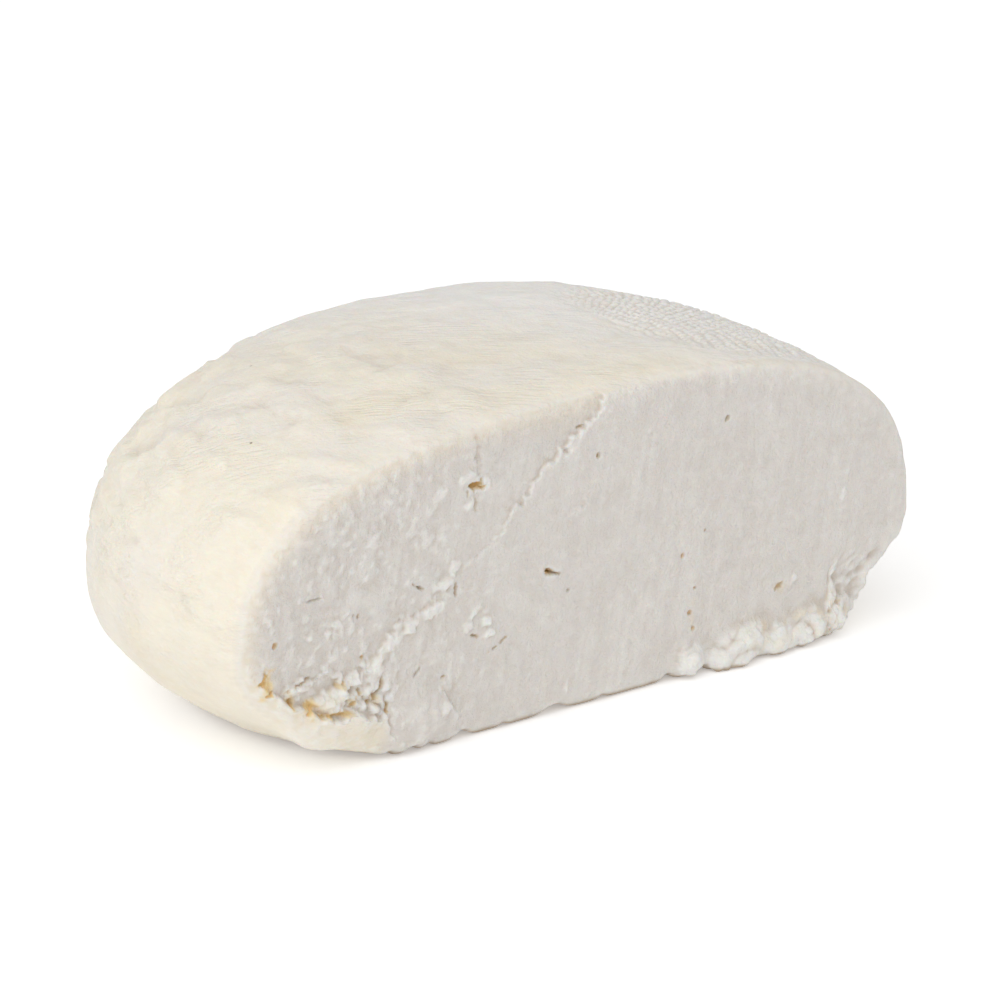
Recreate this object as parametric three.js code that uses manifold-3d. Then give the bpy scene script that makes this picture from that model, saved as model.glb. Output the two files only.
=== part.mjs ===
// A fresh white cheese: a round wheel pressed in a cloth, with a slice cut off one
// side. What is left stands on its underside with the flat cut face towards -Y.
// Millimetres, +Z up. The origin is on the table, under the middle of the piece.

import * as THREE from 'three';
import { mergeVertices } from 'three/addons/utils/BufferGeometryUtils.js';
import Module from 'manifold-3d';

// Driving dimensions
const WHEEL_RADIUS = 90;
const WHEEL_HEIGHT = 67.5;
const BELLY_HEIGHT = 24; // height of the widest girth above the table
const CUT_FROM_AXIS = 31; // distance from the wheel's axis to the knife cut
const CURDS_PROUD = 4; // how far the loose curds stand out from the cut

// The rim is a squared round: 2 would be an ellipse, larger is squarer.
const RIM_SQUARENESS_ACROSS = 3;
const RIM_SQUARENESS_UP = 2.8;
const FOOT_SQUARENESS = 1.3;

// The flank tucks in under the belly, more on one side, where the wheel slumped.
const FOOT_TUCK = 19;
const FOOT_TUCK_MORE = 15;
const FOOT_TUCK_SIDE = THREE.MathUtils.degToRad(235);

// The plan is a little out of round, with an oval and a three-cornered part.
const OVAL_ALONG = 0.015;
const OVAL_ASLANT = 0.025;
const THREE_CORNERED = -0.045;

// The middle of the top sits slightly off the axis.
const TOP_LEAN_X = -2.5;
const TOP_LEAN_Y = 1;

const COLUMNS_AROUND = 84;
const RINGS_ABOVE_BELLY = 20;
const RINGS_BELOW_BELLY = 8;
const CUTTER_SIZE = 400;

const wasm = await Module();
wasm.setup();

// A closed three.js geometry as a solid that can be joined and cut.
function solidFrom(geometry) {
  const bare = geometry.clone();
  bare.deleteAttribute('normal');
  bare.deleteAttribute('uv');
  const merged = mergeVertices(bare, 1e-3);
  const corners = [];
  for (let i = 0; i < merged.index.count; i += 3) {
    const [a, b, c] = [0, 1, 2].map((k) => merged.index.getX(i + k));
    if (a !== b && b !== c && c !== a) {
      corners.push(a, b, c);
    }
  }
  const mesh = new wasm.Mesh({
    numProp: 3,
    vertProperties: new Float32Array(merged.attributes.position.array),
    triVerts: new Uint32Array(corners),
  });
  return new wasm.Manifold(mesh);
}

function geometryFrom(solid) {
  const mesh = solid.getMesh();
  const geometry = new THREE.BufferGeometry();
  geometry.setAttribute('position', new THREE.BufferAttribute(mesh.vertProperties, 3));
  geometry.setIndex(new THREE.BufferAttribute(mesh.triVerts, 1));
  geometry.computeVertexNormals();
  return geometry;
}

// The half outline that is turned round the wheel's axis, from the middle of the
// underside, out to the foot, up over the belly and the rim, to the middle of the top.
function wheelOutline() {
  const points = [new THREE.Vector2(0, 0)];
  for (let ring = RINGS_BELOW_BELLY; ring > 0; ring--) {
    const turn = (ring / RINGS_BELOW_BELLY) * (Math.PI / 2);
    const tuck = 1 - Math.max(Math.cos(turn), 0) ** (2 / FOOT_SQUARENESS);
    const rise = 1 - Math.sin(turn) ** (2 / FOOT_SQUARENESS);
    points.push(new THREE.Vector2(WHEEL_RADIUS - FOOT_TUCK * tuck, BELLY_HEIGHT * rise));
  }
  for (let ring = RINGS_ABOVE_BELLY; ring > 0; ring--) {
    const turn = (ring / RINGS_ABOVE_BELLY) * (Math.PI / 2);
    const across = Math.sin(turn) ** (2 / RIM_SQUARENESS_ACROSS);
    const up = Math.max(Math.cos(turn), 0) ** (2 / RIM_SQUARENESS_UP);
    const height = BELLY_HEIGHT + (WHEEL_HEIGHT - BELLY_HEIGHT) * up;
    points.push(new THREE.Vector2(WHEEL_RADIUS * across, height));
  }
  points.push(new THREE.Vector2(0, WHEEL_HEIGHT));
  return points;
}

// How far the plan reaches at an angle round the axis, against a true circle.
function outOfRound(around) {
  const oval = OVAL_ALONG * Math.cos(2 * around) + OVAL_ASLANT * Math.sin(2 * around);
  return 1 + oval + THREE_CORNERED * Math.cos(3 * around);
}

// Moves a point of a true round wheel to where it lies on the slumped one.
function slump(point) {
  const around = Math.atan2(point.y, point.x);
  const out = Math.hypot(point.x, point.y);
  let reach = out * outOfRound(around);
  let lean = 0;
  if (point.z < BELLY_HEIGHT) {
    const tucked = Math.min((WHEEL_RADIUS - out) / FOOT_TUCK, 1);
    const fromMiddle = Math.min(out / (WHEEL_RADIUS - FOOT_TUCK), 1);
    reach -= FOOT_TUCK_MORE * Math.cos(around - FOOT_TUCK_SIDE) * tucked * fromMiddle;
  } else {
    lean = 1 - out / WHEEL_RADIUS;
  }
  point.x = reach * Math.cos(around) + TOP_LEAN_X * lean;
  point.y = reach * Math.sin(around) + TOP_LEAN_Y * lean;
}

// The whole wheel, its axis behind the cut, which lies in the plane y = 0.
function wheel() {
  const lathe = new THREE.LatheGeometry(wheelOutline(), COLUMNS_AROUND);
  lathe.rotateX(Math.PI / 2);
  const places = lathe.attributes.position;
  const point = new THREE.Vector3();
  for (let i = 0; i < places.count; i++) {
    slump(point.fromBufferAttribute(places, i));
    places.setXYZ(i, point.x, point.y, point.z);
  }
  lathe.translate(0, CUT_FROM_AXIS, 0);
  return solidFrom(lathe);
}

// An ellipsoid of curd. Its place is its centre, with the cut face at y = 0.
function lump({ at, size, turn = 0 }) {
  const ball = new THREE.SphereGeometry(1, 20, 12);
  ball.rotateX(Math.PI / 2);
  ball.scale(...size);
  ball.rotateY(THREE.MathUtils.degToRad(turn));
  ball.translate(...at);
  return solidFrom(ball);
}

function boxBetween(low, high) {
  const size = new THREE.Vector3().subVectors(high, low);
  const box = new THREE.BoxGeometry(size.x, size.y, size.z);
  const middle = new THREE.Vector3().addVectors(low, high).multiplyScalar(0.5);
  box.translate(middle.x, middle.y, middle.z);
  return solidFrom(box);
}

// The tongue that tore off below the cut at its left end, in two lobes.
const TORN_LIP = [
  { at: [-65, 5, 11.5], size: [16, 7, 8.5], turn: 6 },
  { at: [-49, 3.5, 8], size: [12, 6, 9.5] },
];

// Bigger curds that broke loose along the right half of the bottom edge.
const CURD_DEPTH = 1; // how far a curd's middle lies behind the cut
const LOOSE_CURDS = [
  { at: [21.5, CURD_DEPTH, 3.8], size: [3, CURDS_PROUD, 4] },
  { at: [34.5, CURD_DEPTH, 3], size: [8.5, CURDS_PROUD + CURD_DEPTH, 4.2], turn: -14 },
  { at: [45, CURD_DEPTH, 2.4], size: [6, CURDS_PROUD, 3] },
  { at: [53.5, CURD_DEPTH, 3], size: [4.5, CURDS_PROUD, 3.8], turn: -30 },
  { at: [63.5, CURD_DEPTH, 4.5], size: [3.5, CURDS_PROUD, 5] },
];

function cheeseWheel() {
  const half = CUTTER_SIZE / 2;
  const slice = boxBetween(
    new THREE.Vector3(-half, -CUTTER_SIZE, -half),
    new THREE.Vector3(half, 0, half),
  );
  const table = boxBetween(
    new THREE.Vector3(-half, -half, -CUTTER_SIZE),
    new THREE.Vector3(half, half, 0),
  );
  let solid = wheel().subtract(slice);
  for (const piece of [...TORN_LIP, ...LOOSE_CURDS]) {
    solid = solid.add(lump(piece).subtract(table));
  }
  const geometry = geometryFrom(solid);
  geometry.computeBoundingBox();
  const middle = geometry.boundingBox.getCenter(new THREE.Vector3());
  geometry.translate(-middle.x, -middle.y, 0);
  return geometry;
}

const freshCheese = new THREE.MeshStandardMaterial({
  color: new THREE.Color(0.9, 0.875, 0.82),
  roughness: 0.55,
  metalness: 0,
});

const part = new THREE.Group();
const cheese = new THREE.Mesh(cheeseWheel(), freshCheese);
cheese.name = 'cheese_wheel';
part.add(cheese);

export default part;
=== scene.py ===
"""A wheel of fresh white cheese with a slice cut off one side, standing on its underside."""

import math

import bmesh
import bpy
import numpy as np
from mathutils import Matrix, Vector, kdtree, noise


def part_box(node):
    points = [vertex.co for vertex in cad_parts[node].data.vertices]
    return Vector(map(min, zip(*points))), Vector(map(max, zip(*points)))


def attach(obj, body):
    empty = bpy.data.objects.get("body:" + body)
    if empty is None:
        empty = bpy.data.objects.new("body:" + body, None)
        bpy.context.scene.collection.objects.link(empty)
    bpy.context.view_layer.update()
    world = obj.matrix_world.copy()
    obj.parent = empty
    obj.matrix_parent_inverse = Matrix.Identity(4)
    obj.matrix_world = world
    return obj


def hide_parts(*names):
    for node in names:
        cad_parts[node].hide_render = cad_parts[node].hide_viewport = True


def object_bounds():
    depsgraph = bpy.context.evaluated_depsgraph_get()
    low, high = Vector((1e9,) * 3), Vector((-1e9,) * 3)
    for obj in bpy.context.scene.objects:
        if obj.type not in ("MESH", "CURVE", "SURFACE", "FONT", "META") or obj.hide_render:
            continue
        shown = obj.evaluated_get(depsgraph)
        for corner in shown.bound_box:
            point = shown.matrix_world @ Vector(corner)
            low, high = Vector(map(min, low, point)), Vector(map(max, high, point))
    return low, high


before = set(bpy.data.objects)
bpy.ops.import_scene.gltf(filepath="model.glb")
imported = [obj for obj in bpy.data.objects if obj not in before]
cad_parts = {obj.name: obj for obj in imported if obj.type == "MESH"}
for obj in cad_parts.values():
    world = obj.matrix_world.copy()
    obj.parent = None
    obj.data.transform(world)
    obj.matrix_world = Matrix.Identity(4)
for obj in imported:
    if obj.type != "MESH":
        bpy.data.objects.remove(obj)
cad_low, cad_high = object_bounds()


# ----------------------------------------------------------------------------------
# The pressed wheel. Fresh curds are pressed in a cloth into one low round, which
# slumps a little over its foot. Its skin is made of small even faces, and the creases
# of the solid are rubbed smooth.
# ----------------------------------------------------------------------------------
MM = 0.001
SKIN_FACE = 1.65 * MM
CURDS_PROUD = 4.0  # mm, from the cut to the outermost curd
CRISP_BEHIND_CUT = 3  # mm behind the cut that stay crisp
FLAT_FOOT = 1.5  # mm above the table that stay flat
WORN_ROUNDS = 24
SETTLED_ROUNDS = 2

wheel_low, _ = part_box("cheese_wheel")
cut_plane = wheel_low.y / MM + CURDS_PROUD


def even_skin(node, name):
    """A copy of a node's solid with its skin in small faces of one size."""
    piece = bpy.data.objects.new(name, node.data.copy())
    bpy.context.scene.collection.objects.link(piece)
    piece.data.materials.clear()
    merged = bmesh.new()
    merged.from_mesh(piece.data)
    bmesh.ops.remove_doubles(merged, verts=merged.verts, dist=0.001 * MM)
    merged.to_mesh(piece.data)
    merged.free()
    remesh = piece.modifiers.new("even_skin", "REMESH")
    remesh.mode = "VOXEL"
    remesh.voxel_size = SKIN_FACE
    depsgraph = bpy.context.evaluated_depsgraph_get()
    piece.data = bpy.data.meshes.new_from_object(piece.evaluated_get(depsgraph))
    piece.modifiers.clear()
    return piece


def relax(shape, verts, rounds):
    """Moves each vertex half way to the middle of its neighbours, round by round."""
    for _ in range(rounds):
        bmesh.ops.smooth_vert(
            shape, verts=verts, factor=0.5, use_axis_x=True, use_axis_y=True, use_axis_z=True
        )


def behind_cut(point):
    """Millimetres behind the plane of the cut, and less than 0 in front of it."""
    return point.y / MM - cut_plane


cheese = even_skin(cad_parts["cheese_wheel"], "fresh_cheese_wheel")
skin = bmesh.new()
skin.from_mesh(cheese.data)
clear_of_cut = [v for v in skin.verts if behind_cut(v.co) > CRISP_BEHIND_CUT]
relax(skin, [v for v in clear_of_cut if v.co.z / MM > FLAT_FOOT], WORN_ROUNDS)
relax(skin, list(skin.verts), SETTLED_ROUNDS)


# ----------------------------------------------------------------------------------
# The cut face. A long knife took a slice off one side and dragged, so that one half
# stands proud of the other along a torn ridge. It opened hollows between the curds, where
# whey dried to ochre, and at the lower left a tongue of cheese tore away with the rind.
# ----------------------------------------------------------------------------------
CUT_ZONE = 2.0  # mm behind the cut that is made of finer faces
CUT_SPLITS = 2
CLOSE_WORK_SPLITS = 1
SPLIT_ROUNDS = 2  # of smoothing after a split
FINEST_ROUNDS = 1
AROUND_TEAR = 1.2  # mm beside a tear that get the finest faces
AROUND_SPOT = 0.6  # mm round a hollow or a lump that get them
CURDS_FROM = 12  # mm across, where the loose curds begin
CURDS_OUT = 0.6  # mm that a loose curd stands out at least

# The rim above the foot that rounds over: how high, how deep, how far right, how turned
RIM_LOWEST = 18
RIM_DEPTH = 5
RIM_RIGHTMOST = 25
RIM_TURNED = (0.12, 0.97)
RIM_ROUNDS = 6

# Places on the cut are in millimetres across from the middle and up from the table.
# Each tear: its run with the proud side on its left, the steps along it, how far they fade
TORN_RIDGE = [
    (4, 70), (2, 63), (-2.7, 60), (-5.7, 58.2), (-9, 55.3), (-12, 53.6), (-14.6, 51.6),
    (-17.4, 48), (-23.4, 42.8), (-32, 37.3), (-38.5, 32.3), (-44.7, 29), (-51, 27.2),
    (-55.8, 22), (-59.5, 19.5), (-63.2, 13.2),
]
FRACTURE = [
    (-52.5, 12.2), (-54, 11), (-57.5, 11.2), (-60.5, 13.2), (-63.3, 12.3), (-66.6, 13.3),
    (-69.5, 14.2), (-71.5, 16), (-74.8, 16.6), (-77, 19), (-79.5, 20.5), (-82.5, 23.5),
]
LIP_CRACK = [(-62.5, 21.8), (-66, 22.4), (-70.2, 21.3), (-72.8, 21.5), (-77, 19.6)]
TEARS = [
    (TORN_RIDGE, [0.7, 1.0, 0.8, 0.5, 0.25, 0.5, 0.8, 1.0], 16),
    (FRACTURE, [0.8, 1.6, 1.8, 1.8, 1.4, 1.0], 6),
    ([(-50.5, 4), (-51.5, 7), (-53, 10), (-54, 12.5)], [0.3, 0.9, 1.0], 4),
    ([(-33.5, 4), (-35, 7), (-37, 10), (-38.5, 12.5)], [0.4, 0.9, 0.5], 5),
    ([(-1.5, 46), (-3, 44.6), (-5.5, 43.2)], [0.2, 0.5, 0.2], 3),
    (LIP_CRACK, [0.1, 0.6, 0.8, 0.5], 3),
]

# Each hollow: across, up, half width, half height, turn in degrees, depth, whey 0 to 1
HOLLOWS = [
    (-29.0, 53.3, 1.6, 0.85, -14, 2.0, 1.0),
    (-31.3, 52.0, 0.4, 0.8, 0, 0.6, 0.2),
    (-28.3, 58.0, 0.8, 3.6, 4, 0.35, 0),
    (-29.5, 49.5, 0.5, 1.6, 0, 0.4, 0.1),
    (-11.2, 31.4, 1.3, 0.8, -25, 2.2, 0.9),
    (-8.9, 30.4, 1.2, 0.3, -20, 1.2, 0.3),
    (-6.1, 26.2, 0.4, 0.4, 0, 0.8, 0.2),
    (1.5, 53.6, 0.6, 0.6, 0, 1.2, 0.4),
    (35.5, 54.6, 0.6, 0.5, 10, 1.0, 0.2),
    (-2.9, 60.4, 0.9, 0.3, 10, 0.7, 0.25),
    (-58.4, 32.1, 0.3, 0.5, 0, 0.8, 0.3),
    (-59.7, 32.6, 0.3, 0.3, 0, 0.6, 0.2),
    (-43.4, 34.9, 1.2, 0.3, -30, 0.9, 0.2),
    (-34.5, 32.1, 0.35, 1.3, 0, 1.0, 0.3),
    (-30, 21.7, 1.1, 0.3, -20, 0.9, 0.4),
    (-22.7, 19.1, 1.3, 0.25, 30, 0.7, 0.5),
    (-24.9, 18.0, 0.9, 0.25, 20, 0.7, 0.5),
    (-78.9, 30.5, 0.5, 0.6, 10, 0.8, 0.6),
    (-68.8, 38, 1.6, 0.2, 0, 0.5, 0),
    (50, 14.7, 1.5, 0.4, 35, 0.9, 0.5),
    (29.8, 31.4, 0.35, 0.35, 0, 0.6, 0.5),
    (24, 27.2, 0.35, 0.4, 0, 0.6, 0.5),
    (27.3, 19.3, 0.35, 0.35, 0, 0.6, 0.4),
    (26, 14.2, 0.5, 0.5, 0, 0.8, 0.6),
    (26.8, 10.5, 0.5, 0.6, 20, 0.8, 0.6),
    (-81.2, 23.6, 0.6, 1.3, -15, 0.7, 1.0),
    (-80.2, 20.4, 0.9, 0.5, 0, 0.6, 1.0),
    (-75.2, 17.6, 0.4, 1.0, 15, 0.8, 0.9),
    (-71.2, 15.0, 1.0, 0.5, 25, 0.7, 1.0),
    (-64.5, 13.1, 3.4, 0.25, -6, 0.4, 0.9),
    (-60.9, 14.4, 1.2, 0.35, 25, 0.9, 0.9),
    (-58.9, 16.4, 0.4, 0.9, 20, 0.9, 0.5),
    (-57.3, 13.9, 0.9, 0.3, 30, 0.9, 0.6),
    (-53.4, 17.2, 0.3, 0.8, -10, 0.9, 0.4),
    (-72.5, 21.0, 2.2, 0.3, 12, 0.7, 0.3),
    (-55.4, 14.6, 0.5, 0.7, 0, 1.8, 0.6),
    (-54.2, 16, 0.9, 0.35, 40, 1.2, 0.6),
    (-52.4, 12, 0.6, 0.8, 0, 1.2, 0.6),
    (-44.6, 17.2, 1.2, 0.25, 40, 0.7, 0.2),
    (-38, 14.9, 0.8, 0.25, 0, 0.6, 0.5),
    (-57.4, 23.3, 0.3, 0.5, 0, 0.6, 0.7),
    (-63.5, 18.9, 1.2, 0.7, 0, 0.5, 0.6),
]

# Each lump of whiter curd: across, up, half width, half height, turn, height
WHITE_LUMPS = [
    (-37.9, 53.3, 1.4, 1.0, 0, 0.5),
    (-31.6, 55.4, 2.0, 1.2, 20, 0.5),
    (-31.4, 49.6, 1.6, 1.0, 20, 0.5),
    (-26.5, 53.5, 0.9, 1.4, 0, 0.4),
    (-27.2, 24.5, 1.6, 1.2, -20, 0.9),
    (-26.4, 21.7, 1.4, 1.0, 10, 0.8),
    (-29.7, 26.7, 1.3, 0.8, 30, 0.6),
    (-31.5, 24.0, 1.2, 0.9, 30, 0.5),
    (-40.5, 29.6, 2.6, 1.2, 30, 0.7),
    (-45.5, 27.6, 2.2, 1.2, 25, 0.7),
    (-37.2, 34.1, 2.2, 1.5, 20, 0.7),
    (-34.4, 37.4, 1.6, 1.1, 35, 0.6),
    (-50.0, 25.2, 2.6, 1.3, 25, 0.6),
    (-55.0, 20.8, 2.6, 2.2, 35, 0.9),
    (-70.3, 30, 1.0, 0.9, 0, 0.5),
    (-65.8, 30, 1.1, 1.0, 0, 0.5),
    (-63.5, 31.4, 0.9, 0.8, 0, 0.5),
    (-61.2, 33.5, 1.6, 0.4, 50, 0.4),
    (67.2, 31.2, 0.7, 1.8, -20, 0.3),
    (54, 15.8, 1.1, 1.5, -20, 0.4),
    (-6.2, 5.2, 0.4, 1.6, -10, 0.25),
    (-65.4, 16.2, 3.6, 2.5, 15, 1.8),
    (-61.0, 18.8, 3.2, 1.6, 35, 1.0),
    (-72.6, 20.0, 2.6, 0.7, -10, 0.8),
    (-58.2, 13.6, 1.5, 1.2, 0, 1.1),
    (-55.8, 12.4, 1.2, 0.8, 30, 1.0),
    (-57.0, 16.6, 1.6, 1.1, 20, 0.8),
    (-38.0, 8.2, 1.5, 1.1, 30, 0.8),
]

# Each smear of dried whey: across, up, half width, half height, turn, strength
STAINS = [
    (-80.6, 22.2, 1.3, 3.0, -10, 0.9),
    (-75.2, 18.0, 0.9, 2.2, 15, 0.6),
    (-70.6, 15.6, 2.1, 1.6, 20, 0.95),
    (-64.5, 13.3, 4.4, 0.6, -6, 0.9),
    (-60.9, 14.6, 1.7, 0.8, 25, 0.7),
    (-55.2, 14.2, 1.2, 1.4, 0, 0.35),
    (-69.0, 15.4, 6.0, 2.4, 0, 0.25),
    (-63.4, 19.2, 1.5, 1.0, 0, 0.3),
    (50.0, 14.5, 1.8, 1.4, 35, 0.25),
    (26.5, 12.0, 0.8, 3.0, 0, 0.2),
]

# Each notch where a curd fell out of the bottom edge: across, half width, height
EDGE_NOTCHES = [
    (-56, 1.3, 0.9), (-50.5, 0.9, 0.9), (-45.5, 1.6, 1.1), (-41, 1.2, 0.8), (-32.5, 2.2, 1.5),
    (-22, 1.2, 0.5), (-9, 3.2, 1.5), (3.5, 1.4, 0.6), (20.6, 1.6, 1.3), (29.5, 1.2, 1.4),
]


def smooth_step(low, high, value):
    """0 below low, 1 above high, and a soft ramp between them."""
    share = np.clip((value - low) / (high - low), 0, 1)
    return share * share * (3 - 2 * share)


def along_path(path, x, y):
    """Distance to a path, the side of it that a point is on, and the share of its run."""
    corners = np.array(path, float)
    lengths = np.hypot(*(corners[1:] - corners[:-1]).T)
    starts = np.concatenate([[0], np.cumsum(lengths)])
    nearest = np.full(len(x), np.inf)
    side = np.ones(len(x))
    share = np.zeros(len(x))
    for (x0, y0), (x1, y1), length, start in zip(corners[:-1], corners[1:], lengths, starts):
        run_x, run_y = (x1 - x0) / length, (y1 - y0) / length
        run = np.clip((x - x0) * run_x + (y - y0) * run_y, 0, length)
        off_x, off_y = x - x0 - run * run_x, y - y0 - run * run_y
        distance = np.hypot(off_x, off_y)
        closer = distance < nearest
        turn = run_x * off_y - run_y * off_x
        nearest = np.where(closer, distance, nearest)
        side = np.where(closer, np.sign(turn), side)
        share = np.where(closer, (start + run) / starts[-1], share)
    return nearest, side, share


def off_centre(oval, x, y, ragged=0.0):
    """1 on the outline of a turned oval, less inside it and more outside."""
    middle_x, middle_y, half_wide, half_high, turn = oval
    lean = math.radians(turn)
    wide = ((x - middle_x) * math.cos(lean) + (y - middle_y) * math.sin(lean)) / half_wide
    high = ((y - middle_y) * math.cos(lean) - (x - middle_x) * math.sin(lean)) / half_high
    return np.hypot(wide, high) * np.maximum(1 + 0.5 * ragged, 0.5)


def split_faces(shape, faces, splits):
    """Cuts each edge of these faces this many times, and fills them with smaller faces."""
    edges = list({edge for face in faces for edge in face.edges})
    bmesh.ops.subdivide_edges(shape, edges=edges, cuts=splits, use_grid_fill=True)


def needs_close_work(faces):
    """Which of these faces lie at a tear, a hollow, a lump or a loose curd."""
    middles = np.array([face.calc_center_median() for face in faces]) / MM
    x, y, depth = middles[:, 0], middles[:, 2], middles[:, 1] - cut_plane
    close = (depth < -CURDS_OUT) & (x > CURDS_FROM)
    for path, _, _ in TEARS:
        close |= along_path(path, x, y)[0] < AROUND_TEAR
    for middle_x, middle_y, half_wide, half_high, turn, *_ in HOLLOWS + WHITE_LUMPS:
        larger = (middle_x, middle_y, half_wide + AROUND_SPOT, half_high + AROUND_SPOT, turn)
        close |= off_centre(larger, x, y) < 1.1
    return [face for face, chosen in zip(faces, close) if chosen]


def at_the_cut(shape):
    """The faces of the cut and of what stands in front of it."""
    return [f for f in shape.faces if behind_cut(f.calc_center_median()) < CUT_ZONE]


def soft_rim(shape):
    """The rim of the cut above the foot, where the rind rounds over into the cut."""
    shape.normal_update()
    least, most = RIM_TURNED
    turned = [v for v in shape.verts if least < -v.normal.y < most and v.co.z / MM > RIM_LOWEST]
    near = [v for v in turned if behind_cut(v.co) < RIM_DEPTH and v.co.x / MM < RIM_RIGHTMOST]
    rim = {other for v in near for edge in v.link_edges for other in edge.verts}
    return list(rim)


relax(skin, soft_rim(skin), RIM_ROUNDS)
split_faces(skin, at_the_cut(skin), CUT_SPLITS)
relax(skin, [v for v in skin.verts if behind_cut(v.co) < CRISP_BEHIND_CUT], SPLIT_ROUNDS)
split_faces(skin, needs_close_work(at_the_cut(skin)), CLOSE_WORK_SPLITS)
relax(skin, [v for v in skin.verts if behind_cut(v.co) < CRISP_BEHIND_CUT], FINEST_ROUNDS)


# ----------------------------------------------------------------------------------
# The woven patch. The cloth lay tight over the far right shoulder and pressed its weave
# into the rind there, so that patch is made of finer faces too.
# ----------------------------------------------------------------------------------
WEAVE_MIDDLE = (58.0, -22.0)  # mm
WEAVE_REACH = (32.0, 42.0)
WEAVE_LOWEST = 45.0
WEAVE_SPLITS = 2


def from_weave(x, y):
    """0 in the middle of the woven patch, 1 at its border."""
    return np.hypot((x - WEAVE_MIDDLE[0]) / WEAVE_REACH[0], (y - WEAVE_MIDDLE[1]) / WEAVE_REACH[1])


def in_weave(point):
    x, y, z = point / MM
    return z > WEAVE_LOWEST and behind_cut(point) > CRISP_BEHIND_CUT and from_weave(x, y) < 1


woven_faces = [f for f in skin.faces if in_weave(f.calc_center_median())]
split_faces(skin, woven_faces, WEAVE_SPLITS)
relax(skin, [v for v in skin.verts if in_weave(v.co)], SPLIT_ROUNDS)
bmesh.ops.recalc_face_normals(skin, faces=skin.faces)
skin.to_mesh(cheese.data)
skin.free()


# ----------------------------------------------------------------------------------
# The rind. It is uneven all round from the curds under it, and the gathered cloth folded
# it over the left shoulder, in a few big folds and many small ones.
# ----------------------------------------------------------------------------------

# Every point of the skin in millimetres, and the way that it faces.
places = np.empty(len(cheese.data.vertices) * 3)
cheese.data.vertices.foreach_get("co", places)
places = places.reshape(-1, 3) / MM
outward = np.empty(len(places) * 3)
cheese.data.vertices.foreach_get("normal", outward)
outward = outward.reshape(-1, 3)
across = places[:, 0].copy()
behind = places[:, 1] - cut_plane
up = places[:, 2].copy()

SEED_SHIFT = 17.3  # how far one seed's noise lies from the next


def grain(size, seed, stretch=(1, 1, 1)):
    """Soft noise from -1 to 1 at each point of the skin, with swells about a size apart."""
    scaled = places / (size * np.array(stretch)) + seed * SEED_SHIFT
    return np.array([noise.noise(Vector(point)) for point in scaled])


def curdled(size, seed, stretch=(1, 1, 1)):
    """Rounded lumps about a size apart with sharp creases between them, from -1 to 1."""
    return 4 * np.abs(grain(size, seed, stretch)) - 1


# Each swell: its height and how far apart such swells are, in mm, and its seed
SWELLS = [(0.8, 38, 1), (0.45, 16, 2), (0.3, 7, 3), (0.12, 3.4, 25)]

# Each big fold: its run seen from above, with the proud side on its left, and its height
CLOTH_FOLDS = [
    ([(-52.5, 0.4), (-55.2, 2.6), (-55.9, 6.9), (-56.6, 11.4), (-57.0, 19)], 1.5),
    ([(-52.6, -22.5), (-53.0, -17), (-54.5, -12)], 0.9),
    ([(-25.9, -22.6), (-24.5, -14), (-24.1, -6.4)], 0.7),
    ([(-70, -7), (-72, 0), (-71, 8)], 1.0),
    ([(-40, -21), (-43, -12), (-43, -3)], 0.6),
]
FOLD_FADES = 7.0  # mm to the side of a big fold
SMALL_FOLDS = 0.8  # mm high

on_rind = smooth_step(0.5, 5, behind)
swell = sum(height * grain(size, seed) for height, size, seed in SWELLS)
folds = 0.6 * grain(5, 4, stretch=(2.6, 2.6, 0.5)) + 0.4 * grain(3, 24, stretch=(3, 3, 0.6))
shoulder = smooth_step(10, -30, across) * smooth_step(25, 42, up)
folded = SMALL_FOLDS * (0.15 + 0.85 * shoulder) * smooth_step(0, 0.2, folds)
standing = smooth_step(0, 6, up)
rind_out = on_rind * standing * (swell + folded)
for path, height in CLOTH_FOLDS:
    distance, side, share = along_path(path, across + 1.2 * grain(5, 39), places[:, 1])
    faded = height * smooth_step(0, 0.2, share) * smooth_step(1, 0.8, share)
    faded *= smooth_step(35, 45, up)
    rind_out += faded * (np.tanh(distance * side) * np.exp(-distance / FOLD_FADES))


# ----------------------------------------------------------------------------------
# The paste that the knife laid bare. It is smooth at the right, and crumbly with small
# clots at the left, where it tore. Its lumps are whiter, its torn edges whiter with a painted
# highlight, and its hollows hold whey and painted shade.
# ----------------------------------------------------------------------------------
CLOT_SIZE = 4.5  # mm
FLECK_SIZE = 2.0
FLAKE_SIZE = 1.3
TORN_EDGE = 0.25  # mm over which a tear steps down

facing_knife = smooth_step(0.35, 0.8, -outward[:, 1])
on_cut = facing_knife * (1 - smooth_step(1.2, 3.2, behind))
cut_out = np.zeros(len(places))
whey = np.zeros(len(places))
white = np.zeros(len(places))
# painted shade in hollows, crumbs, curd creases and notches
painted_crevice_shade = np.zeros(len(places))

left_half = smooth_step(-10, -60, across)
clots = curdled(CLOT_SIZE, 12, stretch=(1, 1, 1.3))
flecks = curdled(FLECK_SIZE, 18, stretch=(1.3, 1, 1))
cut_out += 0.16 * grain(13, 23) + (0.06 + 0.07 * left_half) * clots
cut_out += (0.06 + 0.03 * left_half) * flecks
flaking = grain(FLAKE_SIZE, 29, stretch=(1, 1, 1.4)) + 0.35 * grain(7, 30)
flakes = smooth_step(0.22, 0.5, flaking)
cut_out += (0.04 + 0.16 * left_half) * flakes
white += 0.12 * smooth_step(0.3, 1.5, flecks) + flakes * (0.1 + 0.4 * left_half)
white += (0.1 + 0.15 * left_half) * smooth_step(0, 1.2, clots)

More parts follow.
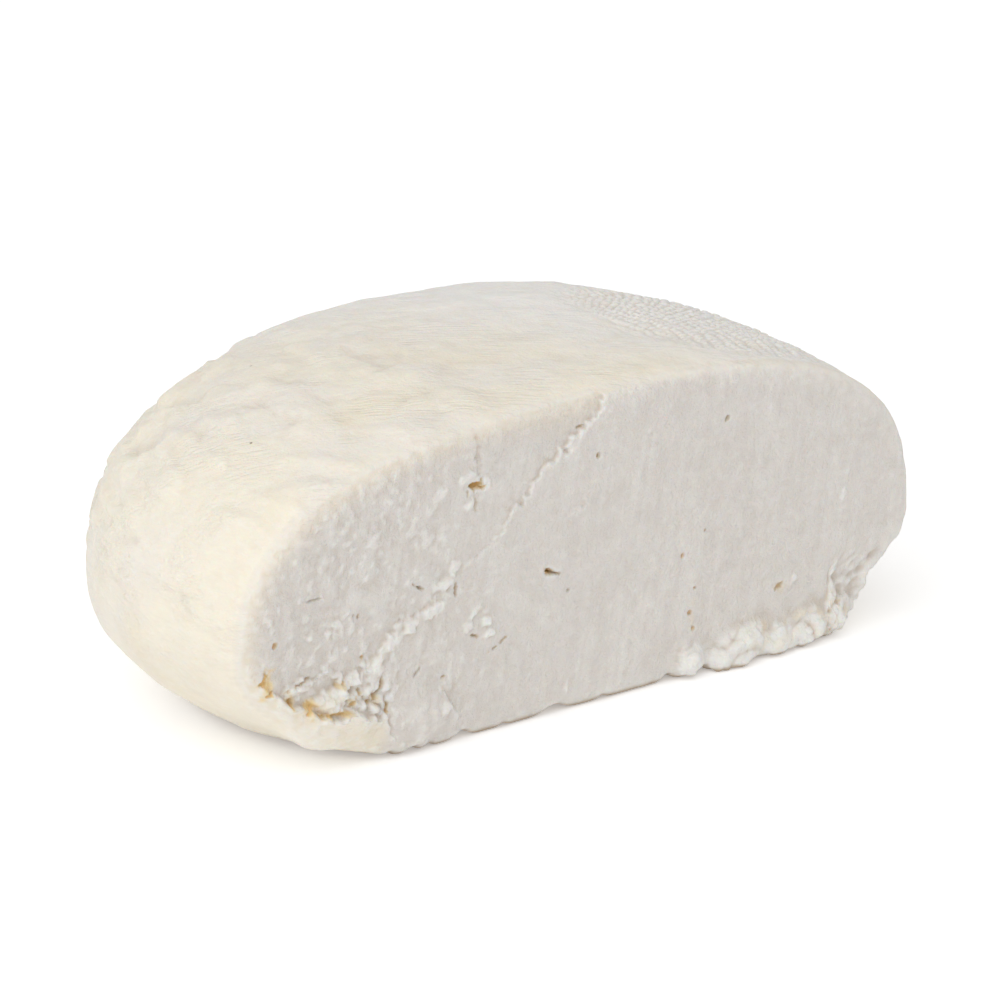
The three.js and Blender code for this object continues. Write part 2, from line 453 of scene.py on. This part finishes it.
wander = 1.3 * grain(3.6, 7) + 1.2 * grain(1.5, 8)
torn = smooth_step(-0.8, 0.6, curdled(2.4, 9))
for path, steps, fade in TEARS:
    distance, side, share = along_path(path, across + wander, up - wander)
    step = np.interp(share, np.linspace(0, 1, len(steps)), steps)
    step *= smooth_step(0, 0.04, share) * smooth_step(1, 0.96, share)
    signed = distance * side
    cut_out += 0.5 * step * np.tanh(signed / TORN_EDGE) * np.exp(-distance / fade)
    cut_out += 0.22 * step * torn * np.exp(-(((signed - 0.4) / 0.5) ** 2))
    # Along the proud side of each tear the curd is whiter, partly as a painted highlight fading
    # away from the lit step.
    past_edge = np.maximum(signed, 0)
    edge_white_and_highlight = 0.6 * np.exp(-past_edge / 0.4) + 0.4 * np.exp(-past_edge / 7)
    edge_white_and_highlight *= smooth_step(-0.3, 0.1, signed) * np.clip(step / 1.2, 0, 1)
    white = np.maximum(white, edge_white_and_highlight * (0.2 + 0.7 * torn))

ragged = grain(1.5, 5) + 0.6 * grain(0.7, 6)
lumpy = 1.4 * grain(2.8, 37) + 0.6 * grain(1.1, 38)
for *oval, height in WHITE_LUMPS:
    inside = 1 - smooth_step(0.3, 1.25, off_centre(oval, across, up, 1.4 * lumpy))
    cut_out += height * inside * (0.7 + 0.3 * torn)
    white = np.maximum(white, min(0.5 + 0.5 * height, 1) * inside)

for *oval, depth, wetness in HOLLOWS:
    reach = off_centre(oval, across, up, 1.5 * ragged)
    inside = 1 - smooth_step(0.6, 1.1, reach)
    cut_out -= depth * inside
    whey = np.maximum(whey, wetness * (1 - smooth_step(0.7, 1.2, reach)))
    middle_x, middle_y, half_wide, half_high, _ = oval
    # painted shade on the upper left of each hollow, under its lip, away from the lamp
    under_lip = (middle_x - 0.4 * half_wide, middle_y + 0.5 * half_high, *oval[2:])
    shaded = 1 - smooth_step(0.4, 0.9, off_centre(under_lip, across, up, 1.5 * ragged))
    painted_crevice_shade = np.maximum(painted_crevice_shade, shaded * min(depth / 1.2, 1))

for *oval, strength in STAINS:
    reach = off_centre(oval, across, up, 1.5 * ragged)
    whey = np.maximum(whey, strength * (1 - smooth_step(0.2, 1.3, reach)))

# Below the fracture the tongue still wears its rind, and crumbs cling above it.
distance, side, share = along_path(FRACTURE, across + wander, up - wander)
below_fracture = smooth_step(-0.2, 0.8, distance * side) * smooth_step(-51, -55, across)
crumbly = np.exp(-(((distance * side + 2.6) / 2.6) ** 2)) * smooth_step(-48, -53, across)
crumbly *= 0.25 + 0.75 * smooth_step(-66, -60, across)
crumbs = curdled(2.6, 10)
cut_out += crumbly * 0.5 * crumbs
white = np.maximum(white, crumbly * smooth_step(-0.3, 0.4, crumbs))
# painted shade deep between the crumbs
painted_crevice_shade = np.maximum(painted_crevice_shade, 0.5 * crumbly * smooth_step(-0.7, -0.95, crumbs))


# ----------------------------------------------------------------------------------
# The loose curds. Soft lumps broke out along the right of the bottom edge, whiter than
# the paste, and still hold to it by a crumbly seam. The lower right corner is crumbled
# away, which leaves a bite with a ragged fringe.
# ----------------------------------------------------------------------------------
BITE_DEPTH = 4.5  # mm
FRINGE_FOLDS = 1.1
FRINGE_CRUMBS = 0.9

proud = smooth_step(-0.1, -0.9, behind)
curds = proud * smooth_step(CURDS_FROM, CURDS_FROM + 6, across)
lip = proud * smooth_step(-25, -32, across)
broad = curdled(7.0, 14)
knobbly = 0.42 * broad + 0.22 * curdled(2.6, 15)
curd_out = curds * (knobbly + 0.2) + lip * 0.25 * grain(4, 16)
white = np.maximum(white, curds * (0.55 + 0.45 * smooth_step(-0.8, 0.2, broad)))
curd_places = kdtree.KDTree(len(places))
for index in np.flatnonzero((curds > 0.9) & (across > 28)):
    curd_places.insert(Vector(places[index]), int(index))
curd_places.balance()
from_curd = np.full(len(places), 50.0)
for index in np.flatnonzero((across > 26) & (up < 18) & (behind < 1.5)):
    from_curd[index] = curd_places.find(Vector(places[index]))[2]
seam = np.exp(-(((from_curd - 0.9) / 1.0) ** 2))
seam *= smooth_step(36, 42, across + 4 * grain(6, 36))
crumbled = smooth_step(-0.1, 0.3, grain(2.2, 33) + 0.5 * grain(1.0, 34))
whey = np.maximum(whey, 0.3 * seam * crumbled)
white = np.maximum(white, 0.6 * seam * (1 - crumbled))
cut_out += seam * (0.5 + 1.0 * grain(1.8, 35))
# painted shade in the creases between the curds
painted_crevice_shade = np.maximum(painted_crevice_shade, 0.35 * curds * smooth_step(-0.55, -0.95, broad))

corner = smooth_step(61, 70, across) * smooth_step(20, 13, up + 2 * grain(4, 43))
fringe = corner * (1 - smooth_step(2, 4, behind))
fringe_out = fringe * (FRINGE_FOLDS * grain(3.2, 21) + FRINGE_CRUMBS * grain(1.5, 22))
white = np.maximum(white, 0.4 * fringe * smooth_step(-0.1, 0.3, grain(2.0, 42)))
places[:, 0] -= BITE_DEPTH * corner * (1 - smooth_step(4, 12, behind))
places += outward * (rind_out + curd_out + fringe_out)[:, None]
places[:, 1] -= cut_out * on_cut * (1 - 0.5 * curds)
for x, half_wide, height in EDGE_NOTCHES:
    near = np.exp(-(((across - x) / half_wide) ** 2)) * (1 - smooth_step(2, 6, behind))
    places[:, 2] += height * near * (1 - smooth_step(0.2, 2.5, up))
    # painted shade in each notch at the foot
    painted_crevice_shade = np.maximum(painted_crevice_shade, near * (1 - smooth_step(0.3, 1.6, up)))

# How far each point of the cut is from the rind.
ring = np.flatnonzero((behind > 3.0) & (behind < 5.5) & (up > 1.5))
border = kdtree.KDTree(len(ring))
for index in ring:
    border.insert(Vector((across[index], 0, up[index])), int(index))
border.balance()
from_rind = np.full(len(places), 50.0)
for index in np.flatnonzero(behind < 3.2):
    from_rind[index] = border.find(Vector((across[index], 0, up[index])))[2]
# A beige band along the rind's edge on the cut: partly the rind's yellowish edge, partly painted
# shade.
wider_left = 2.6 * smooth_step(10, -25, across)
soft_edge = 1.6 + wider_left
paste = 1 - smooth_step(0.8, 2.2, behind + 0.4 * grain(4, 17))
paste *= smooth_step(0.1, soft_edge, from_rind)
paste *= 1 - 0.85 * below_fracture
border_width = 1.2 + wider_left
border_width += 3.5 * np.exp(-(((across + 4) / 9) ** 2))
distance, side, share = along_path(TORN_RIDGE, across, up)
border_width = np.where(side > 0, np.minimum(border_width, 1.6), border_width)
border_band = np.exp(-((from_rind / border_width) ** 2)) * smooth_step(8, 20, up)


# ----------------------------------------------------------------------------------
# The marks of the weave. The threads left small scales in rows round the shoulder, each
# row half a scale on from the last, with creases between them.
# ----------------------------------------------------------------------------------
WEAVE_ROW = 2.5  # mm
WEAVE_SCALE = 3.1
WEAVE_DEPTH = 0.55
SHOULDER_RADIUS = 80
AXIS_X, AXIS_Y = 4.0, -27.6  # of the whole wheel

woven = smooth_step(1.0, 0.5, from_weave(across, behind + cut_plane))
woven *= smooth_step(WEAVE_LOWEST, WEAVE_LOWEST + 8, up) * smooth_step(3, 5, behind)
out_x, out_y = across - AXIS_X, behind + cut_plane - AXIS_Y
around = np.arctan2(out_y, out_x) * SHOULDER_RADIUS + 1.6 * grain(4, 27)
down = 0.8 * (np.hypot(out_x, out_y) - up) + 1.4 * grain(4.5, 28)
row = np.floor(down / WEAVE_ROW)
in_row = down / WEAVE_ROW - row
along = around / WEAVE_SCALE + 0.5 * row
in_scale = along - np.floor(along)
row_edge = np.minimum(in_row, 1 - in_row) * 1.1
scale_edge = np.minimum(row_edge, np.minimum(in_scale, 1 - in_scale))
places += outward * (WEAVE_DEPTH * woven * (smooth_step(0, 0.3, scale_edge) - 1))[:, None]


# ----------------------------------------------------------------------------------
# Creases and crests. Creases get a painted shade and crests a painted highlight. A point is
# in a crease where the skin rubbed smooth around it stands above it.
# ----------------------------------------------------------------------------------
FINE_ROUNDS = 6
BROAD_ROUNDS = 40
edges = np.empty(len(cheese.data.edges) * 2, np.int32)
cheese.data.edges.foreach_get("vertices", edges)
ends = np.concatenate([edges[0::2], edges[1::2]])
others = np.concatenate([edges[1::2], edges[0::2]])
neighbours = np.bincount(ends, minlength=len(places))[:, None]


def rubbed(points, rounds):
    """The points with the skin between them worn smooth."""
    for _ in range(rounds):
        sums = [np.bincount(ends, points[others, axis], len(points)) for axis in range(3)]
        points = (points + np.stack(sums, axis=1) / neighbours) / 2
    return points


worn = rubbed(places, FINE_ROUNDS)
well_worn = rubbed(worn, BROAD_ROUNDS)
crease_depth_for_painted_light = ((worn - places) * outward).sum(axis=1)
crease_depth_for_painted_light += 0.6 * ((well_worn - worn) * outward).sum(axis=1)

near_cut = 1 - smooth_step(2, 3.5, behind)
places[:, 2] = np.maximum(places[:, 2], 0)
cheese.data.vertices.foreach_set("co", (places * MM).ravel())
for name, values in {
    "paste": paste,
    "whey": whey * near_cut,
    "white_curd_and_highlight": np.clip(white, 0, 1) * paste,
    "painted_crevice_shade": painted_crevice_shade * near_cut,
    "border": border_band,
    # painted shade in creases, stronger near the cut and in the weave
    "crease_depth_for_painted_light": smooth_step(0.02, 0.3, crease_depth_for_painted_light) * (0.5 + 0.5 * smooth_step(4, 2, behind) + 0.8 * woven),
    # painted highlight on crests near the cut
    "painted_crest_highlight": smooth_step(0.02, 0.3, -crease_depth_for_painted_light) * smooth_step(4, 2, behind),
    # foot: a painted contact shadow, darkest where the cheese meets the table
    "foot": smooth_step(np.where(behind > 3, 2.4, 1.5), 0.3, places[:, 2]),
    "far_top": smooth_step(-10, 45, across + 0.6 * (behind - 40)) * smooth_step(50, 62, up),
    "grainy": 0.3 + 0.7 * left_half,
}.items():
    attribute = cheese.data.attributes.new(name, "FLOAT", "POINT")
    attribute.data.foreach_set("value", np.clip(values, 0, 1).astype(np.float32))
cheese.data.polygons.foreach_set("use_smooth", [True] * len(cheese.data.polygons))
cheese.data.update()


# ----------------------------------------------------------------------------------
# Fresh cheese as a material. Light goes a little way into the wet curd. The rind
# dried to cream, the cut is greyer and whiter, and whey stains the cracks. Creases,
# hollows and the foot get painted shade, and crests and torn edges a painted highlight.
# ----------------------------------------------------------------------------------
RIND_CREAM = (0.92, 0.855, 0.725)
RIND_PALE = (0.895, 0.84, 0.75)
RIND_YELLOW = (0.88, 0.79, 0.61)
RIND_DULL = (0.87, 0.795, 0.67)
RIND_BRIGHT = (0.95, 0.91, 0.84)
RIND_GREY = (0.90, 0.87, 0.825)
PASTE_PALE = (0.82, 0.78, 0.735)
PASTE_GREY = (0.745, 0.695, 0.645)
CURD_WHITE = (0.935, 0.915, 0.87)
BORDER_BEIGE = (0.82, 0.74, 0.62)
# painted shade for creases
CREASE_SHADE_BEIGE = (0.62, 0.52, 0.40)
WHEY_OCHRE = (0.90, 0.62, 0.19)
# brown for painted shade in crevices and along the foot
PAINTED_SHADE_BROWN = (0.40, 0.27, 0.14)
SPECK_BROWN = (0.22, 0.16, 0.11)
RIND_SPECKS = [(-38.0, 6.9, 63.4), (-63.5, -29.5, 61.4)]  # mm
SPECK_SIZE = (0.35, 0.35, 8.0)
GRAIN_HEIGHT = 0.35 * MM
LIGHT_SHARE = 0.35
LIGHT_DEPTH = 4 * MM
LIGHT_DEPTH_RED_GREEN_BLUE = (1.0, 0.65, 0.4)
KNIFE_LEAN = 11  # degrees that the knife's drag leans from upright
CLOTH_LEAN = -38  # degrees that the rind's fine lines run from across


class Nodes:
    """A material's node tree, with short calls for the nodes that cheese needs."""

    def __init__(self, name):
        self.material = bpy.data.materials.new(name)
        self.material.use_nodes = True
        self.tree = self.material.node_tree
        self.shader = self.tree.nodes["Principled BSDF"]
        self.place = self.add("ShaderNodeTexCoord").outputs["Object"]

    def add(self, kind, **settings):
        node = self.tree.nodes.new(kind)
        for key, value in settings.items():
            setattr(node, key, value)
        return node

    def feed(self, socket, value):
        if isinstance(value, bpy.types.NodeSocket):
            self.tree.links.new(value, socket)
        elif hasattr(value, "__len__") and len(value) == 3 and socket.type == "RGBA":
            socket.default_value = (*value, 1)
        else:
            socket.default_value = value

    def value(self, name):
        return self.add("ShaderNodeAttribute", attribute_name=name).outputs["Fac"]

    def noise(self, size, detail=2.0, rough=0.5, stretch=(1, 1, 1), turn=(0, 0, 0)):
        mapping = self.add("ShaderNodeMapping", vector_type="TEXTURE")
        self.feed(mapping.inputs["Vector"], self.place)
        mapping.inputs["Rotation"].default_value = [math.radians(a) for a in turn]
        mapping.inputs["Scale"].default_value = [size * s for s in stretch]
        texture = self.add("ShaderNodeTexNoise")
        self.feed(texture.inputs["Vector"], mapping.outputs["Vector"])
        texture.inputs["Scale"].default_value = 1
        texture.inputs["Detail"].default_value = detail
        texture.inputs["Roughness"].default_value = rough
        return texture.outputs["Fac"]

    def spot(self, middle, size):
        """0 in the middle of an upright oval spot and 1 at its edge, in mm."""
        mapping = self.add("ShaderNodeMapping", vector_type="TEXTURE")
        self.feed(mapping.inputs["Vector"], self.place)
        mapping.inputs["Location"].default_value = [part * MM for part in middle]
        mapping.inputs["Scale"].default_value = [part * MM for part in size]
        length = self.add("ShaderNodeVectorMath", operation="LENGTH")
        self.feed(length.inputs[0], mapping.outputs["Vector"])
        return length.outputs["Value"]

    def ramp(self, value, low, high, to_low=0.0, to_high=1.0):
        node = self.add("ShaderNodeMapRange", interpolation_type="SMOOTHSTEP")
        for name, part in (
            ("Value", value), ("From Min", low), ("From Max", high),
            ("To Min", to_low), ("To Max", to_high),
        ):
            self.feed(node.inputs[name], part)
        return node.outputs["Result"]

    def times(self, first, second):
        node = self.add("ShaderNodeMath", operation="MULTIPLY")
        self.feed(node.inputs[0], first)
        self.feed(node.inputs[1], second)
        return node.outputs[0]

    def plus(self, first, second):
        node = self.add("ShaderNodeMath", operation="ADD")
        self.feed(node.inputs[0], first)
        self.feed(node.inputs[1], second)
        return node.outputs[0]

    def between(self, share, first, second):
        """The first number where the share is 0, and the second where it is 1."""
        node = self.add("ShaderNodeMix", data_type="FLOAT")
        self.feed(node.inputs["Factor"], share)
        self.feed(node.inputs["A"], first)
        self.feed(node.inputs["B"], second)
        return node.outputs["Result"]

    def blend(self, share, first, second):
        """The second colour laid over the first by a share from 0 to 1."""
        node = self.add("ShaderNodeMix", data_type="RGBA")
        under, over = [s for s in node.inputs if s.type == "RGBA"]
        self.feed(node.inputs["Factor"], share)
        self.feed(under, first)
        self.feed(over, second)
        return next(s for s in node.outputs if s.type == "RGBA")

    def bump(self, height, distance):
        node = self.add("ShaderNodeBump")
        self.feed(node.inputs["Height"], height)
        node.inputs["Distance"].default_value = distance
        node.inputs["Strength"].default_value = 1.0
        return node.outputs["Normal"]


def fresh_cheese():
    make = Nodes("fresh_cheese")
    paste_share = make.value("paste")

    clouds = make.ramp(make.noise(30 * MM, 3), 0.42, 0.62)
    yellowed = make.ramp(make.noise(22 * MM, 3, stretch=(1, 1, 1.6)), 0.52, 0.7)
    rind = make.blend(clouds, RIND_CREAM, RIND_PALE)
    rind = make.blend(make.times(yellowed, 0.4), rind, RIND_YELLOW)
    rind = make.blend(make.value("far_top"), rind, RIND_GREY)
    patches = make.ramp(make.noise(6 * MM, 3, 0.6), 0.5, 0.68)
    rind = make.blend(make.times(patches, 0.4), rind, RIND_DULL)
    flakes = make.ramp(make.noise(1.6 * MM, 3, 0.6, stretch=(1.5, 1.5, 0.8)), 0.5, 0.66)
    rind = make.blend(make.times(flakes, 0.3), rind, RIND_BRIGHT)
    for place in RIND_SPECKS:
        speck = make.ramp(make.spot(place, SPECK_SIZE), 0.6, 1.0, 0.8, 0.0)
        rind = make.blend(speck, rind, SPECK_BROWN)

    clots = make.ramp(make.noise(5 * MM, 3, 0.6), 0.38, 0.66)
    mottle = make.ramp(make.noise(1.3 * MM, 3, 0.6, stretch=(1.3, 1, 1)), 0.42, 0.68)
    drag = make.ramp(make.noise(2.2 * MM, 2, stretch=(1, 1, 18), turn=(0, KNIFE_LEAN, 0)), 0.4, 0.7)
    cut = make.blend(make.times(clots, 0.6), PASTE_PALE, PASTE_GREY)
    cut = make.blend(make.times(mottle, make.times(make.value("grainy"), 0.45)), cut, PASTE_GREY)
    cut = make.blend(make.times(make.value("grainy"), 0.6), cut, PASTE_GREY)
    streaky = make.ramp(make.noise(32 * MM, 2), 0.4, 0.62, 0.06, 0.3)
    cut = make.blend(make.times(drag, streaky), cut, CURD_WHITE)
    # whiter curd, with painted highlight along the torn edges
    cut = make.blend(make.value("white_curd_and_highlight"), cut, CURD_WHITE)

    colour = make.blend(paste_share, rind, cut)
    # beige band at the rind's edge, partly painted shade
    colour = make.blend(make.times(make.value("border"), 0.8), colour, BORDER_BEIGE)
    # painted highlight on crests, then painted shade in creases
    colour = make.blend(make.times(make.value("painted_crest_highlight"), 0.5), colour, CURD_WHITE)
    colour = make.blend(make.times(make.value("crease_depth_for_painted_light"), 0.4), colour, CREASE_SHADE_BEIGE)
    colour = make.blend(make.times(make.value("whey"), 0.75), colour, WHEY_OCHRE)
    # painted shade in crevices
    colour = make.blend(make.times(make.value("painted_crevice_shade"), 0.5), colour, PAINTED_SHADE_BROWN)
    # painted contact shadow along the foot
    colour = make.blend(make.times(make.value("foot"), 0.8), colour, PAINTED_SHADE_BROWN)

    striae = make.noise(0.8 * MM, 2, stretch=(12, 1, 1), turn=(0, 0, CLOTH_LEAN))
    striated = make.ramp(make.noise(14 * MM, 2), 0.42, 0.6)
    striae = make.times(striae, striated)
    wrinkles = make.noise(3 * MM, 3, 0.6, stretch=(1.4, 1.4, 0.7))
    pores = make.noise(0.7 * MM, 3, 0.6)
    knife = make.noise(1.8 * MM, 2, stretch=(1, 1, 25), turn=(0, KNIFE_LEAN, 0))
    rind_height = make.plus(make.times(striae, 1.3), make.times(pores, 0.35))
    rind_height = make.plus(rind_height, make.times(wrinkles, 1.6))
    cut_height = make.plus(make.times(knife, 0.55), make.times(pores, 1.2))
    height = make.between(paste_share, rind_height, cut_height)

    shader = make.shader
    make.feed(shader.inputs["Base Color"], colour)
    make.feed(shader.inputs["Roughness"], make.ramp(make.noise(5 * MM, 3), 0.3, 0.7, 0.42, 0.58))
    make.feed(shader.inputs["Normal"], make.bump(height, GRAIN_HEIGHT))
    shader.inputs["Subsurface Weight"].default_value = LIGHT_SHARE
    shader.inputs["Subsurface Radius"].default_value = LIGHT_DEPTH_RED_GREEN_BLUE
    shader.inputs["Subsurface Scale"].default_value = LIGHT_DEPTH
    shader.inputs["Specular IOR Level"].default_value = 0.35
    return make.material


cheese.data.materials.append(fresh_cheese())
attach(cheese, "root")
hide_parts("cheese_wheel")


# ----------------------------------------------------------------------------------
# The table. A plain matt white sheet, wide enough to fill every view, and lit evenly from
# behind, so that it looks white and throws a little light back on the cheese.
# ----------------------------------------------------------------------------------
TABLE_HALF = 3.0
TABLE_DROP = 0.05 * MM
SHEET_WHITE = (0.93, 0.93, 0.93)
SHEET_BRIGHT = (0.95, 0.95, 0.95)
GLOW_ON_CHEESE = 0.11
GLOW_TO_EYE = 0.31

sheet = bmesh.new()
bmesh.ops.create_grid(sheet, x_segments=2, y_segments=2, size=TABLE_HALF)
bmesh.ops.translate(sheet, verts=sheet.verts, vec=(0, 0, -TABLE_DROP))
table = bpy.data.objects.new("table_top", bpy.data.meshes.new("table_top"))
sheet.to_mesh(table.data)
sheet.free()
bpy.context.scene.collection.objects.link(table)


def matt_white():
    make = Nodes("matt_white")
    fibre = make.ramp(make.noise(40 * MM, 2), 0.3, 0.7)
    make.feed(make.shader.inputs["Base Color"], make.blend(fibre, SHEET_WHITE, SHEET_BRIGHT))
    make.shader.inputs["Roughness"].default_value = 0.9
    make.shader.inputs["Emission Color"].default_value = (1, 1, 1, 1)
    seen = make.add("ShaderNodeLightPath").outputs["Is Camera Ray"]
    glow = make.ramp(seen, 0, 1, GLOW_ON_CHEESE, GLOW_TO_EYE)
    make.feed(make.shader.inputs["Emission Strength"], glow)
    return make.material


table.data.materials.append(matt_white())


# ----------------------------------------------------------------------------------
# The light and the camera. One large soft lamp stands high at the left, an even white
# surround fills the shade, and a long lens looks at the cut from the front left.
# ----------------------------------------------------------------------------------
CAMERA_AZIMUTH = -37.37
CAMERA_ELEVATION = 19.11
CAMERA_DISTANCE = 1.2
CAMERA_LENS = 205.45
AIM_FROM_MIDDLE = Vector((10.96, -13.56, -4.2)) * MM
FARTHEST_SEEN = 20
SURROUND_STRENGTH = 0.52

middle = (cad_low + cad_high) / 2
aim = middle + AIM_FROM_MIDDLE


def stand(azimuth, elevation, distance):
    """A place round the cheese. Azimuth 0 is in front of the cut, and grows to the right."""
    turn, rise = math.radians(azimuth), math.radians(elevation)
    level = math.cos(rise)
    out = Vector((math.sin(turn) * level, -math.cos(turn) * level, math.sin(rise)))
    return aim + out * distance


def facing_aim(place):
    return (aim - place).to_track_quat("-Z", "Y").to_euler()


def soft_light(name, azimuth, elevation, distance, size, power):
    lamp = bpy.data.lights.new(name, "AREA")
    lamp.shape = "SQUARE"
    lamp.size = size
    lamp.energy = power
    light = bpy.data.objects.new(name, lamp)
    light.location = stand(azimuth, elevation, distance)
    light.rotation_euler = facing_aim(light.location)
    bpy.context.scene.collection.objects.link(light)


soft_light("key_light", azimuth=-68, elevation=52, distance=3.2, size=5.0, power=80)

surround = bpy.data.worlds.new("white_surround")
surround.use_nodes = True
surround.node_tree.nodes["Background"].inputs["Color"].default_value = (1, 1, 1, 1)
surround.node_tree.nodes["Background"].inputs["Strength"].default_value = SURROUND_STRENGTH
bpy.context.scene.world = surround
bpy.context.scene.view_settings.view_transform = "Standard"

lens = bpy.data.cameras.new("camera")
lens.lens = CAMERA_LENS
lens.clip_end = FARTHEST_SEEN
camera = bpy.data.objects.new("camera", lens)
camera.location = stand(CAMERA_AZIMUTH, CAMERA_ELEVATION, CAMERA_DISTANCE)
camera.rotation_euler = facing_aim(camera.location)
bpy.context.scene.collection.objects.link(camera)
bpy.context.scene.camera = camera
